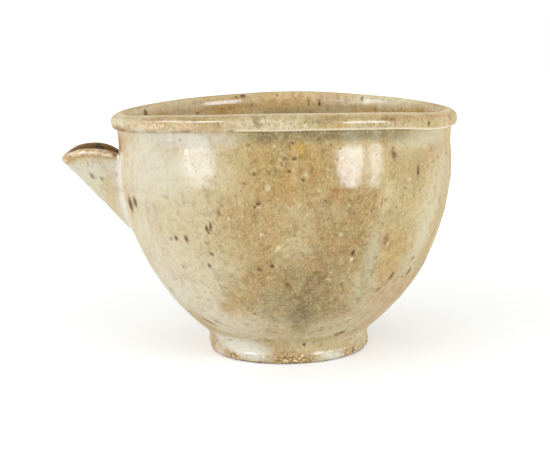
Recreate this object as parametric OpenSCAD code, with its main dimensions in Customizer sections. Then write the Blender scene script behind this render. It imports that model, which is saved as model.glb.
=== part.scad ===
// Katakuchi: a hand-thrown stoneware pouring bowl with a rolled rim and an open spout.
// Millimetres, +Z up, origin at the centre of the resting face, spout towards -X.
// The pieces are the lumps of clay that are made one by one and luted together with slip.

/* [Bowl] */
// Height from the resting face to the mean top of the rim
height = 86; // [76:1:110]
// Outer diameter of the rolled rim
rim_d = 120; // [105:1:150]
// Thickness of the bowl's wall
wall = 4.2; // [3:0.1:6]
// Thickness of the floor at its middle
floor_t = 6; // [4:0.5:10]
// Upright stretch of wall below the rim band
neck_h = 10; // [8:0.5:16]
// Angle at which the wall leaves the foot, from the level
foot_angle = 39; // [25:1:50]
// Reach of the wall's curve at the foot: longer keeps the lower wall straight for longer
foot_pull = 6; // [3:0.5:12]
// Reach of the wall's curve at the neck: longer makes the belly fuller
belly_pull = 41; // [30:1:46]

/* [Rim] */
// Height of the rolled band
rim_h = 5.8; // [4.5:0.1:8]
// How far the band stands out past the neck
rim_over = 1.9; // [1:0.1:3.5]
// How far the rim rises at the two sides, and dips at the spout and across from it
rim_dip = 1.5; // [0:0.1:1.6]
// Squareness of the band's section: 2 is a true oval
rim_square = 2.4; // [2:0.1:4]

/* [Foot] */
// Outer diameter of the foot at the resting face
foot_d = 56; // [46:1:64]
// Height of the foot ring
foot_h = 6.5; // [5:0.5:10]
// Width of the foot ring
foot_w = 7.5; // [5:0.5:11]
// How much the foot narrows towards the bowl, on the radius
foot_draft = 0.5; // [0:0.1:1.5]
// Rounding of the foot's lower edges
foot_round = 1; // [0.4:0.1:2]
// Leg of the clay fillet between the foot and the bowl
foot_fillet = 3; // [1.5:0.5:4]

/* [Spout] */
// How far the tip stands out past the rim
spout_reach = 18.5; // [10:0.5:26]
// Width across the spout where it leaves the wall
spout_w = 27; // [20:0.5:34]
// Drop from the rim's mean lower edge to the tip
spout_drop = 10; // [8:0.2:18]
// Height of the blunt end of the tip
tip_h = 2.1; // [1:0.1:3]
// Slope of the keel, from the level
keel_angle = 47; // [40:1:50]
// Rise of the side edges above the tip, halfway along
spout_arch = 3; // [0:0.5:4]
// Thickness of the spout's side walls
spout_wall = 3.6; // [2.5:0.1:5]
// Thickness of the pouring lip at the tip
lip_t = 2.8; // [1.6:0.1:3.4]
// Thickness of the spout's floor at its root
spout_floor = 6; // [4:0.5:8]
// Diameter of the pouring hole through the wall
hole_d = 14; // [8:0.5:16]
// Drop from the tip to the middle of the pouring hole
hole_drop = 10; // [8:0.5:12]
// Leg of the clay fillet round the spout's root
spout_fillet = 4; // [2:0.2:5]

/* [Hidden] */
glaze = "#cdbf98";
bare_clay = "#a8875c";

// Steps along the curves
round_fn = 360;
wall_steps = 22;
rim_columns = 80;
rim_step = 18;
spout_columns = 26;
spout_rows = 10;
seam_rows = 18;
// Overrun of a cut past the face that it opens
over = 1;
// Thickness of the slip between the spout and the fillet of clay round it
slip = 0.1;

rim_r = rim_d / 2;
neck_r = rim_r - rim_over;
mouth_r = neck_r - wall;
rim_mid_z = height - rim_h / 2;
rim_low_z = height - rim_h;
// The band hooks over the top of the wall, which stands level a little under its middle
wall_top = rim_mid_z - rim_h / 8;
neck_z = rim_low_z - neck_h;
foot_r = foot_d / 2;
foot_top_r = foot_r - foot_draft;
floor_z = foot_h + floor_t;
tip_x = rim_r + spout_reach;
tip_z = rim_low_z - spout_drop;
// The hole's cutter runs on inwards, because the wall leans in below the neck
hole_run = 4 * wall;

// Cubic curve through two ends with two handles
function cubic(a, b, c, d, t) =
    pow(1 - t, 3) * a + 3 * pow(1 - t, 2) * t * b + 3 * (1 - t) * t * t * c + pow(t, 3) * d;
// Points of an arc about a centre
function arc(centre, r, from, to, steps) =
    [for (i = [0:steps]) centre + r * [cos(from + (to - from) * i / steps), sin(from + (to - from) * i / steps)]];
function unit(v) = v / norm(v);
// A power that keeps the sign, for oval sections squarer than an ellipse
function signed_pow(x, p) = sign(x) * pow(abs(x), p);

// Bowl outline: [radius, height] points up the outside and down the inside, which thickens to the foot
wall_start = [foot_top_r, foot_h];
wall_end = [neck_r, neck_z];
wall_handle = wall_start + foot_pull * [cos(foot_angle), sin(foot_angle)];
neck_handle = wall_end - [0, belly_pull];
outer_wall = [for (i = [0:wall_steps]) cubic(wall_start, wall_handle, neck_handle, wall_end, i / wall_steps)];
mouth_start = [mouth_r, neck_z];
floor_handle = [foot_top_r, floor_z];
floor_end = [0, floor_z];
inner_wall = [for (i = [0:wall_steps])
    cubic(mouth_start, mouth_start - [0, belly_pull], floor_handle, floor_end, i / wall_steps)];
// Radius of the outside at a height
wall_by_height = [for (p = outer_wall) [p[1], p[0]]];
function outside_r(z) = lookup(z, wall_by_height);

module bowl_blank() {
    rotate_extrude($fn = round_fn)
        polygon(concat([[0, foot_h]], outer_wall, [[neck_r, wall_top], [0, wall_top]]));
}

module bowl_hollow() {
    rotate_extrude($fn = round_fn)
        polygon(concat([[0, wall_top + over], [mouth_r, wall_top + over]], inner_wall));
}

module bowl() {
    color(glaze)
    difference() {
        bowl_blank();
        bowl_hollow();
        // Pouring hole, pierced through the wall behind the spout
        translate([-neck_r - over, 0, tip_z - hole_drop])
            rotate([0, 90, 0])
            cylinder(d = hole_d, h = over + hole_run, $fn = round_fn);
    }
}

// Faces of a grid of points: columns side by side, each a closed loop of rows
function grid_triangles(columns, rows, wrap) =
    [for (j = [0:columns - (wrap ? 1 : 2)], i = [0:rows - 1])
        let (k = (j + 1) % columns, n = (i + 1) % rows)
        each [[j * rows + i, k * rows + i, k * rows + n], [j * rows + i, k * rows + n, j * rows + n]]];

// Rim band: a rolled section carried round the mouth, wavy in height
rim_core_r = (mouth_r + rim_r) / 2;
rim_half_w = (rim_r - mouth_r) / 2;
rim_section = concat(
    [for (a = [-90:rim_step:180])
        [rim_core_r + rim_half_w * signed_pow(cos(a), 2 / rim_square),
         rim_h / 2 * signed_pow(sin(a), 2 / rim_square)]],
    [[mouth_r, -rim_h / 2]]);

module rim_band() {
    rows = len(rim_section);
    points = [for (j = [0:rim_columns - 1], p = rim_section)
        let (a = 360 * j / rim_columns)
        [p[0] * cos(a), p[0] * sin(a), rim_mid_z + p[1] - rim_dip * cos(2 * a)]];
    color(glaze)
    difference() {
        polyhedron(points, grid_triangles(rim_columns, rows, true));
        bowl_blank();
    }
}

// Foot ring: upright sides, rounded where they meet the resting face
foot_inner_r = foot_r - foot_w;
foot_edge = foot_round * [1, 1];

module foot_ring() {
    color(bare_clay)
    rotate_extrude($fn = round_fn)
        polygon(concat(
            [[foot_inner_r, foot_h]],
            arc([foot_inner_r, 0] + foot_edge, foot_round, 180, 270, 4),
            arc([foot_r - foot_round, foot_round], foot_round, -90, 0, 4),
            [[foot_top_r, foot_h]]));
}

// Foot seam: a hollow fillet of clay in the corner between the foot's side and the bowl's underside
module foot_seam() {
    corner = [foot_top_r, foot_h];
    down = unit([foot_draft, -foot_h]);
    out = [cos(foot_angle), sin(foot_angle)];
    sunk = [-1, 0];
    color(glaze)
    difference() {
        rotate_extrude($fn = round_fn)
            polygon([
                corner + sunk + [0, foot_fillet],
                corner + sunk - [0, foot_fillet / 2],
                corner + foot_fillet * down,
                corner + foot_fillet * (down + out) * 0.4,
                corner + foot_fillet * out]);
        bowl_blank();
        foot_ring();
    }
}

// Spout: a scoop whose level slices are half ovals that grow from the foot of the keel to the edge
root_x = neck_r - 2 * wall;
spout_l = tip_x - root_x;
keel_z = tip_z - tip_h - spout_l * tan(keel_angle);
// The oval is widest inside the wall, so it is drawn wider than the spout is at the wall
wall_x = sqrt(pow(neck_r, 2) - pow(spout_w / 2, 2)) - root_x;
spout_half_w = spout_w / 2 / sqrt(1 - pow(wall_x / spout_l, 2));
// Half of the free length, from the tip to the wall
edge_half = (tip_x - neck_r) / 2;
edge_round = 0.4 * tip_h;
// Fullness of the side edges' arch: 2 is a parabola
arch_power = 2.3;
// Share of the tip's end face that is left at the sides
side_face = 0.5;
// Lowest slice, as a share of the height: it stays buried in the wall
first_slice = 0.04;

// Height of the upper edge, by the angle round the oval from the tip
function edge_z(a) = tip_z - edge_round
    + spout_arch * (1 - pow(abs(spout_l * (1 - cos(a)) / edge_half - 1), arch_power));
// Height of the upright face under the rounded edge, which is tallest at the tip
function end_face(a) = tip_h * (side_face + (1 - side_face) * pow(cos(a), 2)) - edge_round;
// Share of the full width at a share of the height: a round-bottomed trough
function trough(v) = sqrt(1 - pow(1 - v, 2));
// A point of the scoop: v is 0 at the bottom and 1 at the edge, inset is 0 outside and 1 inside
function scoop(v, a, inset) =
    let (low = keel_z + inset * spout_floor, top = edge_z(a) - (1 - inset) * end_face(a))
    [-root_x - (spout_l - inset * lip_t) * v * cos(a),
     (spout_half_w - inset * spout_wall) * trough(v) * sin(a),
     low + (top - low) * v];
function slice(i) = first_slice + (1 - first_slice) * i / spout_rows;
// One wall section: up the outside and the end face, over the rounded edge and down the inside
function scoop_section(a) =
    let (face_top = scoop(1, a, 0) + [0, 0, end_face(a)], inner_top = scoop(1, a, 1))
    concat(
        [for (i = [0:spout_rows]) scoop(slice(i), a, 0)],
        [face_top, (face_top + inner_top) / 2 + [0, 0, edge_round]],
        [for (i = [spout_rows:-1:0]) scoop(slice(i), a, 1)]);

module spout_scoop() {
    rows = len(scoop_section(0));
    columns = spout_columns + 1;
    last = rows * spout_columns;
    points = [for (j = [0:spout_columns]) each scoop_section(180 * j / spout_columns - 90)];
    // Each end is closed by strips between the outside and the inside
    ends = [for (i = [0:spout_rows])
        let (p = i, q = i + 1, r = rows - 2 - i, s = rows - 1 - i)
        each concat(
            [[p, q, s], [last + p, last + s, last + q]],
            r > q ? [[q, r, s], [last + q, last + s, last + r]] : [])];
    polyhedron(points, concat(grid_triangles(columns, rows, false), ends));
}

module spout() {
    color(glaze)
    difference() {
        spout_scoop();
        bowl_blank();
    }
}

// Spout seam: a hollow fillet of clay laid in the corner all along the line where the spout meets the wall
// Angle round the oval at which a slice of the scoop meets the bowl's outside, by halving
function meets_at(v, low, high, n) =
    let (a = (low + high) / 2, p = scoop(v, a, 0))
    n == 0 ? a : norm([p[0], p[1]]) > outside_r(p[2]) ? meets_at(v, a, high, n - 1) : meets_at(v, low, a, n - 1);
// Share of the height at which the keel meets the wall
function keel_meets(low, high, n) =
    let (v = (low + high) / 2, p = scoop(v, 0, 0))
    n == 0 ? v : norm([p[0], p[1]]) > outside_r(p[2]) ? keel_meets(low, v, n - 1) : keel_meets(v, high, n - 1);
halvings = 16;
keel_v = keel_meets(0, 0.6, halvings);
// Slices are closer together round the keel, where the line turns
function seam_v(i) = keel_v + (1 - keel_v) * pow(i / seam_rows, 2);
seam_line = [for (i = [-seam_rows:seam_rows])
    let (v = seam_v(abs(i)))
    [v, i == 0 ? 0 : sign(i) * meets_at(v, 0, 90, halvings)]];
seam_bury = 0.8;
seam_hollow = 0.38;
// The fillet thins out towards its two upper ends
function seam_leg(i) = spout_fillet * (1 - 0.5 * pow(abs(i / seam_rows - 1), 6));

// Change of a point of the scoop's outside per unit of v, and per degree round the oval
function by_v(v, a) = (scoop(v + 0.01, a, 0) - scoop(v - 0.01, a, 0)) / 0.02;
function by_a(v, a) = (scoop(v, a + 1, 0) - scoop(v, a - 1, 0)) / 2;
function seam_point(i) = scoop(seam_line[i][0], seam_line[i][1], 0);
// One section of the fillet, from its hollow face: into the wall, and out again along the spout
function seam_section(i) =
    let (last = len(seam_line) - 1,
         v = seam_line[i][0], a = seam_line[i][1], p = seam_point(i), leg = seam_leg(i),
         along = unit(seam_point(min(i + 1, last)) - seam_point(max(i - 1, 0))),
         slope = (outside_r(p[2] + wall) - outside_r(p[2] - wall)) / (2 * wall),
         wall_out = unit([p[0], p[1], -slope * norm([p[0], p[1]])]),
         dv = by_v(v, a), da = by_a(v, a),
         spout_out = unit(cross(dv, da)),
         on_wall = unit(cross(along, wall_out)),
         on_spout = unit(cross(along, spout_out)),
         e1 = on_wall * sign(on_wall * spout_out),
         e2 = on_spout * sign(on_spout * wall_out),
         // Shares of v and of a that follow e2 over the spout's surface
         det = (dv * dv) * (da * da) - (dv * da) * (dv * da),
         step = [(e2 * dv) * (da * da) - (e2 * da) * (dv * da), (e2 * da) * (dv * dv) - (e2 * dv) * (dv * da)] / det,
         spout_side = [for (d = [-seam_bury, 0, leg / 2, leg])
             scoop(v + d * step[0], a + d * step[1], 0) + slip * spout_out])
    concat([p + seam_hollow * leg * (e1 + e2), p + leg * e1 - seam_bury * e2], spout_side);

module spout_seam() {
    rows = len(seam_section(0));
    columns = len(seam_line);
    last = rows * (columns - 1);
    points = [for (i = [0:columns - 1]) each seam_section(i)];
    ends = [for (i = [1:rows - 2]) each [[0, i, i + 1], [last, last + i + 1, last + i]]];
    color(glaze)
    difference() {
        polyhedron(points, concat(grid_triangles(columns, rows, false), ends));
        bowl_blank();
    }
}

bowl();
rim_band();
foot_ring();
foot_seam();
spout();
spout_seam();
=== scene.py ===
"""Looks of a hand-thrown stoneware pouring bowl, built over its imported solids.

Lengths are in millimetres and angles in degrees; points turn into metres when a mesh is made.
The spout points to -X, and the camera looks along +Y.
"""
import math
from collections import namedtuple

import bmesh
import bpy
import numpy as np
from mathutils import Matrix, Vector, noise
from mathutils.bvhtree import BVHTree


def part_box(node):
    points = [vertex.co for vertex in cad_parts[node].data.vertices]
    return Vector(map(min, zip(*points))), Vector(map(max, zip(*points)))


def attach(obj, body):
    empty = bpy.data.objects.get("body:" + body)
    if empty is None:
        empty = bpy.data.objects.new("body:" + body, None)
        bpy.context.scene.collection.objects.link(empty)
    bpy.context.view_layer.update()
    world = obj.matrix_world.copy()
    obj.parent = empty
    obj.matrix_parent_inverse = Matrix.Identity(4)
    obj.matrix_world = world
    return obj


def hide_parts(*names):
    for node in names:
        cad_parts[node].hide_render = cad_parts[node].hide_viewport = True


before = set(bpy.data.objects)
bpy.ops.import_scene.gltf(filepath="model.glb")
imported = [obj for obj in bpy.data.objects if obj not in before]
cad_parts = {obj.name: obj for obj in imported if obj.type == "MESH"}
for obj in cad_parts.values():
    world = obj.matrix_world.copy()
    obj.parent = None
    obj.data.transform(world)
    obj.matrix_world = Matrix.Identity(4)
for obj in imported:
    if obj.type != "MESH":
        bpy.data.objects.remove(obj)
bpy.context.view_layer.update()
MM = 0.001


def corners(node):
    """Lowest and highest corner of a solid, in millimetres."""
    return [np.array(corner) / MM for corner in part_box(node)]


# Sizes that the solids give
bowl_high = corners("bowl")[1]
rim_low, rim_high = corners("rim_band")
foot_high = corners("foot_ring")[1]
spout_low = corners("spout")[0]
NECK_R = bowl_high[0]
WALL_TOP = bowl_high[2]
RIM_R = rim_high[0]
RIM_DIP = 1.5
RIM_H = rim_high[2] - rim_low[2] - 2 * RIM_DIP
RIM_MID_Z = (rim_high[2] + rim_low[2]) / 2
RIM_LOW_Z = RIM_MID_Z - RIM_H / 2
FOOT_R = foot_high[0]
FOOT_H = foot_high[2]
TIP_X = -spout_low[0]

# Wall
WALL = 4.2
FLOOR_Z = FOOT_H + 6
NECK_Z = RIM_LOW_Z - 10
FOOT_TOP_R = FOOT_R - 0.5
FOOT_ANGLE = math.radians(39)
FOOT_PULL = 6
BELLY_PULL = 41
BELLY_Z, BELLY_OUT = 66, 0.2
NARROW_Z, NECK_IN = RIM_LOW_Z - 5.2, 0.52
FLARE_Z = RIM_LOW_Z + 1.4
# Foot
FOOT_W = 7.5
FOOT_ROUND = 1.2
FOOT_FILLET = 3.6
# Spout
TIP_Z = RIM_LOW_Z - 10
TIP_H = 2.1
SPOUT_W = 27
SPOUT_ARCH = 3
ARCH_POWER = 2.3
SIDE_FACE = 0.5
SPOUT_WALL = 3.6
SPOUT_FLOOR = 6
LIP_T = 2.8
KEEL_SLOPE = math.tan(math.radians(47))
SPOUT_FILLET = 4.6
SMEAR = 4.2
EDGE_ROUND = 0.84
FAR_RISE = 0.25
FAR_SHIFT = 0.2
NEAR_FALL = 0.76
HOLE_R = 7
HOLE_Z = TIP_Z - 10
HOLE_EDGE = 1.2
# Fineness of the meshes
COLUMNS = 288
STEP = 1.0


# Curves

def ease(low, high, x):
    """0 at low and 1 at high, with a smooth change between them."""
    t = np.clip((x - low) / (high - low), 0, 1)
    return t * t * (3 - 2 * t)


def bump_at(middle, spread, x):
    """1 at the middle, falling away to 0 on both sides."""
    return np.exp(-((x - middle) / spread) ** 2)


def waves(angle, *terms):
    """Sum of sine waves, each (how many, how large, where it starts)."""
    return sum(size * np.sin(count * angle + start) for count, size, start in terms)


def unit(vectors):
    return vectors / np.linalg.norm(vectors, axis=-1, keepdims=True)


def bezier(a, b, c, d, t):
    """The place t, from 0 to 1, on the cubic curve between a and d with handles b and c."""
    return (1 - t) ** 3 * a + 3 * (1 - t) ** 2 * t * b + 3 * (1 - t) * t ** 2 * c + t ** 3 * d


def cubic(*ends_and_handles, steps=200):
    """Points of a cubic curve."""
    return bezier(*(np.array(p, float) for p in ends_and_handles), np.linspace(0, 1, steps)[:, None])


def evenly(points, step):
    """Points at an even step along a line of points."""
    points = np.asarray(points, float)
    run = np.concatenate([[0], np.cumsum(np.linalg.norm(np.diff(points, axis=0), axis=1))])
    at = np.linspace(0, run[-1], max(2, round(run[-1] / step) + 1))
    return np.stack([np.interp(at, run, column) for column in points.T], axis=1)


WALL_START = np.array([FOOT_TOP_R, FOOT_H])
WALL_OUT = np.array([math.cos(FOOT_ANGLE), math.sin(FOOT_ANGLE)])
outer_wall = np.concatenate([
    cubic(WALL_START, WALL_START + FOOT_PULL * WALL_OUT, (NECK_R, NECK_Z - BELLY_PULL), (NECK_R, NECK_Z)),
    [(NECK_R, WALL_TOP)]])
MOUTH_R = NECK_R - WALL
inner_wall = np.concatenate([
    [(MOUTH_R, WALL_TOP)],
    cubic((MOUTH_R, NECK_Z), (MOUTH_R, NECK_Z - BELLY_PULL), (FOOT_TOP_R, FLOOR_Z), (0, FLOOR_Z))])


def swell(z):
    """What the belly's fullest line, the narrow neck and its flare to the rim change on the radius."""
    flare = np.clip((FLARE_Z - z) / (FLARE_Z - NARROW_Z), 0, 1)
    neck = np.where(z > NARROW_Z, flare, ease(60, NARROW_Z, z))
    return BELLY_OUT * bump_at(BELLY_Z, 6, z) - NECK_IN * neck


def outside_r(z):
    return np.interp(z, outer_wall[:, 1], outer_wall[:, 0]) + swell(z)


def inside_r(z):
    return np.interp(z, inner_wall[::-1, 1], inner_wall[::-1, 0])


def thrown(points):
    """Moves points as a hand-thrown pot departs from a true turned one."""
    x, y, z = np.asarray(points, float).T
    turn = np.arctan2(y, x)
    r = np.maximum(np.hypot(x, y), 1e-6)
    off_axis = ease(8, 25, r)
    up = np.clip(z / RIM_MID_Z, 0, 1)
    body = ease(8, 18, z) * (1 - ease(70, 78, z))
    ridges = waves(z + 1.2 * np.sin(turn), (1.05, 0.022, 0.4), (0.62, 0.035, 2.0), (1.9, 0.010, 1.0))
    dents = waves(turn + 0.03 * z, (5, 0.05, 0.3), (9, 0.04, 2.2), (14, 0.02, 4.0))
    push = off_axis * (up * waves(turn, (2, 0.16, 0.7), (3, 0.12, -1.2)) + body * (ridges + dents))
    lean = 0.4 * bump_at(28, 10, z)
    lift = ease(62, 79, z) * ease(40, 50, r)
    tilt = -0.45 * x / RIM_R
    waver = waves(turn, (5, 0.10, 0.5), (8, 0.07, 2.4))
    return np.stack([
        x + push * np.cos(turn) + lean,
        y + push * np.sin(turn),
        z + lift * (tilt + waver - RIM_DIP * np.cos(2 * turn))], axis=1)


# Meshes

def grid_faces(rows, columns, wrap_rows=False, wrap_columns=True, skip=()):
    """Quads of a grid of points that is stored row by row."""
    faces = []
    for i in range(rows if wrap_rows else rows - 1):
        for j in range(columns if wrap_columns else columns - 1):
            if (i, j) not in skip:
                n, k = (i + 1) % rows, (j + 1) % columns
                faces.append((i * columns + j, i * columns + k, n * columns + k, n * columns + j))
    return faces


def revolved(section, columns=COLUMNS):
    """Points of a section of (radius, height) points carried round the axis, row by row."""
    turn = 2 * math.pi * np.arange(columns) / columns
    r, z = np.asarray(section, float).T
    grids = np.outer(r, np.cos(turn)), np.outer(r, np.sin(turn)), np.outer(z, np.ones(columns))
    return np.stack(grids, axis=2).reshape(-1, 3)


def store(mesh, name, values):
    """Keeps a number for each point of a mesh, which its finish reads."""
    mesh.attributes.new(name, "FLOAT", "POINT").data.foreach_set("value", np.asarray(values, np.float32))


def new_object(name, data):
    made = bpy.data.objects.new(name, data)
    bpy.context.scene.collection.objects.link(made)
    return made


def make_piece(node, points, faces, slot, **masks):
    """A closed smooth mesh that replaces a solid, with the masks that its finish reads."""
    mesh = bpy.data.meshes.new(node)
    mesh.from_pydata([tuple(p) for p in np.asarray(points) * MM], [], faces)
    shell = bmesh.new()
    shell.from_mesh(mesh)
    bmesh.ops.recalc_face_normals(shell, faces=shell.faces)
    shell.to_mesh(mesh)
    shell.free()
    mesh.polygons.foreach_set("use_smooth", [True] * len(mesh.polygons))
    mesh.set_sharp_from_angle(angle=math.radians(50))
    for name, values in masks.items():
        store(mesh, name, values)
    made = new_object("glazed_" + node, mesh)
    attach(made, "root")
    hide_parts(node)
    return made


def make_bowl():
    """The thrown wall and floor, with the pouring hole's rounded edges worked into the grid."""
    underside = [(r, FOOT_H) for r in np.linspace(2, FOOT_TOP_R, 12)[:-1]]
    outside = evenly(outer_wall, STEP)
    outside[:, 0] += swell(outside[:, 1])
    inside = evenly(inner_wall, STEP)
    section = np.concatenate([underside, outside, inside[:-2]])
    points = revolved(section)
    middle = COLUMNS // 2
    half_columns, half_rows = 9, 11
    skip = set()
    rings = []
    extra = []

    def add(ring):
        extra.extend(ring)
        first = len(points) + len(extra) - len(ring)
        return list(range(first, first + len(ring)))

    sides = (
        (outside_r, 1, len(underside) + np.argmin(abs(outside[:, 1] - HOLE_Z))),
        (inside_r, -1, len(underside) + len(outside) + np.argmin(abs(inside[:40, 1] - HOLE_Z))))
    for radius, inward, row in sides:
        low, high = row - half_rows, row + half_rows
        left, right = middle - half_columns, middle + half_columns
        skip |= {(i, j) for i in range(low, high) for j in range(left, right)}
        bottom, top = (low, high) if inward == 1 else (high, low)
        cells = [(bottom, j) for j in range(left, right)] + [(i, right) for i in range(bottom, top, inward)] \
            + [(top, j) for j in range(right, left, -1)] + [(i, left) for i in range(top, bottom, -inward)]
        loop = [i * COLUMNS + j for i, j in cells]
        border = points[loop][:, 1:] - (0, HOLE_Z)
        around = unit(border)

        def on_wall(across, depth=0):
            y, z = across[:, 0], across[:, 1] + HOLE_Z
            return np.stack([inward * depth - np.sqrt(radius(z) ** 2 - y ** 2), y, z], axis=1)

        ring = [loop]
        for share in (0.35, 0.7, 1):
            ring.append(add(on_wall((1 - share) * border + share * (HOLE_R + HOLE_EDGE) * around)))
        for bend in np.radians((22.5, 45, 67.5, 90)):
            edge = HOLE_R + HOLE_EDGE * (1 - math.sin(bend))
            ring.append(add(on_wall(edge * around, HOLE_EDGE * (1 - math.cos(bend)))))
        rings.append(ring)

    faces = grid_faces(len(section), COLUMNS, skip=skip)
    for ring in (*rings, [rings[0][-1], rings[1][-1]]):
        for a, b in zip(ring, ring[1:]):
            faces += [(a[i - 1], a[i], b[i], b[i - 1]) for i in range(len(a))]
    edge_points = {i for ring in rings for loop in ring[4:] for i in loop}
    last = len(section) - 1
    poles = [(0, 0, FOOT_H), (0, 0, FLOOR_Z)]
    points = np.concatenate([points, extra, poles])
    below, floor = len(points) - 2, len(points) - 1
    for j in range(COLUMNS):
        k = (j + 1) % COLUMNS
        faces += [(below, j, k), (floor, last * COLUMNS + k, last * COLUMNS + j)]
    index = np.arange(len(points))
    clay = (index < (len(underside) + 1) * COLUMNS) | (index == below)
    thin = [i in edge_points for i in index]
    first_inside = (len(underside) + len(outside)) * COLUMNS
    inside = (index >= first_inside) & (index < len(section) * COLUMNS) | (index == floor)
    return make_piece("bowl", thrown(points), faces, "glaze",
                      clay=clay, thin=thin, inside=inside, pale=near_seam(points))


def spline(points, steps):
    """A smooth line through points, with so many steps between each two of them."""
    points = np.asarray(points, float)
    ends = np.concatenate([[2 * points[0] - points[1]], points, [2 * points[-1] - points[-2]]])
    t = np.linspace(0, 1, steps, endpoint=False)[:, None]
    parts = []
    for a, b, c, d in zip(ends, ends[1:], ends[2:], ends[3:]):
        parts.append(b + t * (c - a) / 2 + t ** 2 * (a - 2.5 * b + 2 * c - d / 2)
                     + t ** 3 * (1.5 * (b - c) + (d - a) / 2))
    return np.concatenate([*parts, points[-1:]])


# Outline of the rolled band as (radius, height) from its outer lower corner, round the crest, to the inside
RIM_OUTLINE = [
    (NECK_R - 0.5, RIM_LOW_Z + 0.35), (NECK_R + 0.8, RIM_LOW_Z + 0.12), (RIM_R - 0.35, RIM_LOW_Z + 0.8),
    (RIM_R - 0.12, RIM_MID_Z - 0.6), (RIM_R - 0.05, RIM_MID_Z + 0.4), (RIM_R - 0.75, RIM_MID_Z + 1.5),
    (RIM_R - 2.4, RIM_MID_Z + 2.4), (MOUTH_R + 1.6, RIM_MID_Z + 2.3), (MOUTH_R + 0.25, RIM_MID_Z + 1.4),
    (MOUTH_R - 0.15, RIM_MID_Z - 0.1), (MOUTH_R - 0.2, WALL_TOP - 1.0), (MOUTH_R + 0.1, WALL_TOP - 2.6)]


def make_rim():
    """The rolled band, which hooks over the top of the wall."""
    seen = spline(RIM_OUTLINE, 5)
    hidden = [(MOUTH_R + 1.2, WALL_TOP - 2.2), (NECK_R - 1.2, RIM_LOW_Z + 0.9)]
    section = np.concatenate([seen, hidden])
    points = revolved(section)
    x, y, z = points.T
    turn, out = np.arctan2(y, x), np.hypot(x, y) / RIM_R
    outer, inner = ease(0.96, 0.99, out), ease(0.94, 0.92, out)
    low = ease(RIM_MID_Z + 1, RIM_LOW_Z, z)
    z += low * outer * waves(turn, (4, 0.14, 1.0), (7, 0.12, 3.0), (13, 0.07, 0.4))
    sway = np.sin(2 * turn)
    fullest = outer * bump_at(RIM_MID_Z + 0.1, 1.6, z)
    inmost = inner * bump_at(RIM_MID_Z + 0.6, 1.2, z)
    z += (0.6 * sway - 0.15) * fullest + 0.35 * sway * inmost
    far_inside = ease(*np.radians((53, 58)), turn) * ease(*np.radians((108, 102)), turn) * inner
    rounder = far_inside * bump_at(RIM_MID_Z + 1.3, 0.9, z)
    fat = 1 + ease(0.97, 1, out) * waves(turn, (3, 0.0016, 0.2), (6, 0.0012, 1.7), (11, 0.0008, 5.0))
    points[:, :2] *= (fat + 0.35 * rounder / MOUTH_R)[:, None]
    # Masks, from the section as drawn
    drawn_r, drawn_z = np.repeat(section, COLUMNS, axis=0).T
    front, left = ease(20, -20, y), ease(-10, -30, x)
    # crest: a pale line along the front half of the crest, partly thin glaze and partly a painted highlight;
    # the lower edge away from the left takes the same pale colour
    crest = bump_at(RIM_R - 3.2, 1.3, drawn_r) * (drawn_z > RIM_MID_Z + 1.9) * front
    low_edge = bump_at(RIM_LOW_Z + 0.2, 0.55, drawn_z) * (drawn_r > NECK_R - 1)
    inside = ease(MOUTH_R + 2.4, MOUTH_R + 1.0, drawn_r)
    worn_top = ease(RIM_MID_Z + 1.2, RIM_MID_Z + 1.9, drawn_z)
    return make_piece("rim_band", thrown(points), grid_faces(len(section), COLUMNS, wrap_rows=True), "glaze",
                      crest=crest + low_edge * (1 - left), scorch=low_edge * left, inside=inside,
                      dull=np.maximum(far_inside, worn_top))


# Crumbs of kiln grit in the foot's glaze: each heap's bearing, spread and number of crumbs
CRUST_HEAPS = (
    (-88, 11, 110), (-132, 4, 20), (-40, 8, 60), (-14, 6, 50), (20, 6, 40), (95, 8, 60), (160, 5, 30))
CRUMB_H = 0.4
CRUST_TOP = 4.4
FOOT_COLUMNS = 720


def crumbs(turn, z):
    """Height of the crumbs on the foot's side, and how thickly they lie."""
    draw = np.random.default_rng(11)
    height = np.zeros_like(z)
    heap = np.zeros_like(z)
    for bearing, spread, count in CRUST_HEAPS:
        aside = (np.degrees(turn) - bearing + 180) % 360 - 180
        heap = np.maximum(heap, bump_at(0, 1.5 * spread, aside) * ease(CRUST_TOP, CRUST_TOP - 1.6, z))
        for place, level, size in zip(draw.normal(0, spread, count), draw.uniform(0.4, CRUST_TOP - 1, count),
                                      draw.uniform(0.28, 0.75, count)):
            away = np.hypot(np.radians(aside - place) * FOOT_R, z - level)
            height = np.maximum(height, CRUMB_H * size ** 0.5 * bump_at(0, size, away))
    return height, heap


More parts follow.
